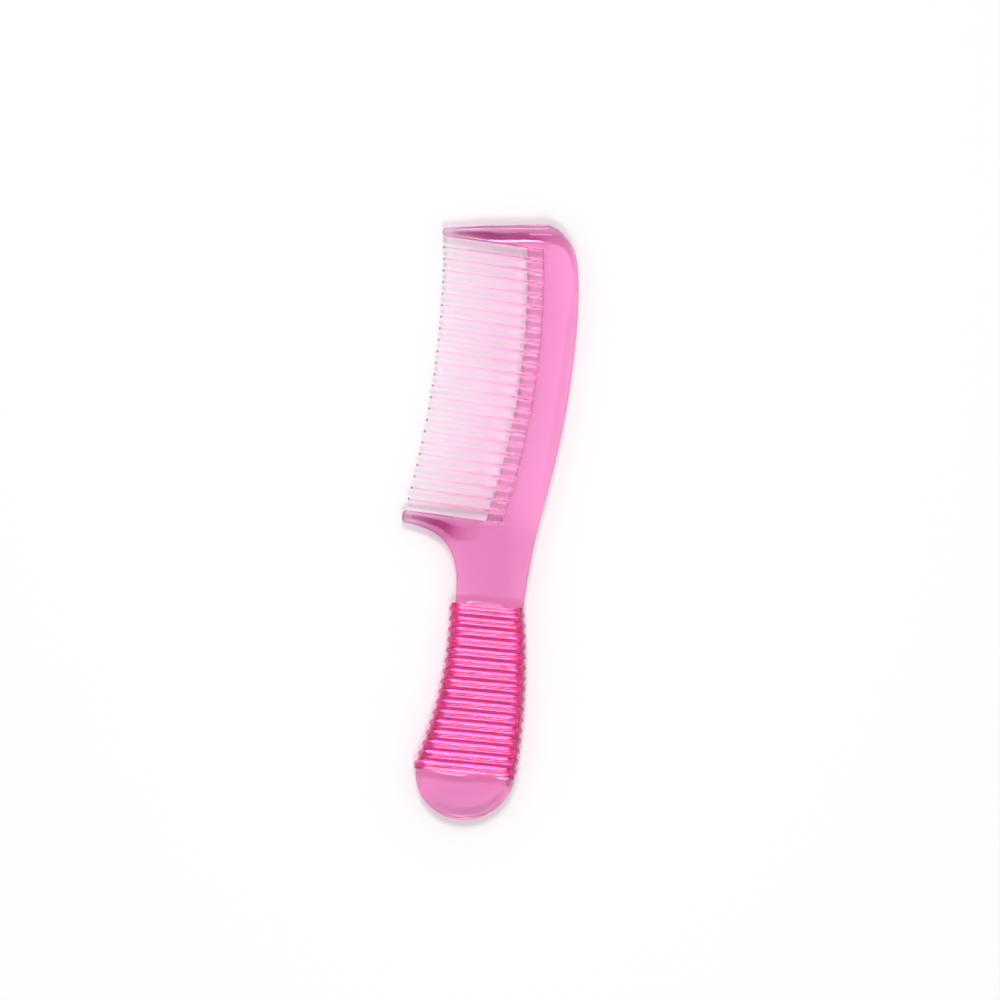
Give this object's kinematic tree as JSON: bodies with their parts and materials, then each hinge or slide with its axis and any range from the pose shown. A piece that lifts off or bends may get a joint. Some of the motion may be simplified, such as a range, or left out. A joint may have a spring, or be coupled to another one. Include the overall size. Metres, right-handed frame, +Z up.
{
  "type": "wide tooth comb",
  "caption": "Clear pink plastic handle comb: curved spine, widely spaced teeth between two guards, waisted neck and ribbed grip with a round butt.",
  "frame": {"origin": "centre of the outline, on the plane that the lowest faces of the grip's ribs stand on", "axes": "+Y along the comb towards the head, +Z up through its thickness, so that the teeth point to -X and the back of the spine to +X"},
  "size_m": [0.0554, 0.2214, 0.0095],
  "materials": {
    "clear_pink": "clear, glossy, lightly scuffed",
    "web_pink": "clear, glossy",
    "tooth_pink": "clear, glossy",
    "grip_pink": "clear, glossy, deeper pink"
  },
  "bodies": {
    "root": {"spine": "clear_pink", "front_guard": "clear_pink", "heel_guard": "clear_pink", "neck": "clear_pink", "tang": "clear_pink", "butt": "clear_pink", "root_web": "web_pink", "grip_sleeve": "grip_pink", "tooth_01": "tooth_pink", "tooth_02": "tooth_pink", "tooth_03": "tooth_pink", "tooth_04": "tooth_pink", "tooth_05": "tooth_pink", "tooth_06": "tooth_pink", "tooth_07": "tooth_pink", "tooth_08": "tooth_pink", "tooth_09": "tooth_pink", "tooth_10": "tooth_pink", "tooth_11": "tooth_pink", "tooth_12": "tooth_pink", "tooth_13": "tooth_pink", "tooth_14": "tooth_pink", "tooth_15": "tooth_pink", "tooth_16": "tooth_pink", "tooth_17": "tooth_pink", "tooth_18": "tooth_pink", "tooth_19": "tooth_pink", "tooth_20": "tooth_pink", "tooth_21": "tooth_pink", "tooth_22": "tooth_pink", "tooth_23": "tooth_pink", "grip_rib_01": "grip_pink", "grip_rib_02": "grip_pink", "grip_rib_03": "grip_pink", "grip_rib_04": "grip_pink", "grip_rib_05": "grip_pink", "grip_rib_06": "grip_pink", "grip_rib_07": "grip_pink", "grip_rib_08": "grip_pink", "grip_rib_09": "grip_pink", "grip_rib_10": "grip_pink", "grip_rib_11": "grip_pink", "grip_rib_12": "grip_pink", "grip_rib_13": "grip_pink", "grip_rib_14": "grip_pink", "grip_rib_15": "grip_pink", "grip_rib_16": "grip_pink"}
  },
  "joints": []
}
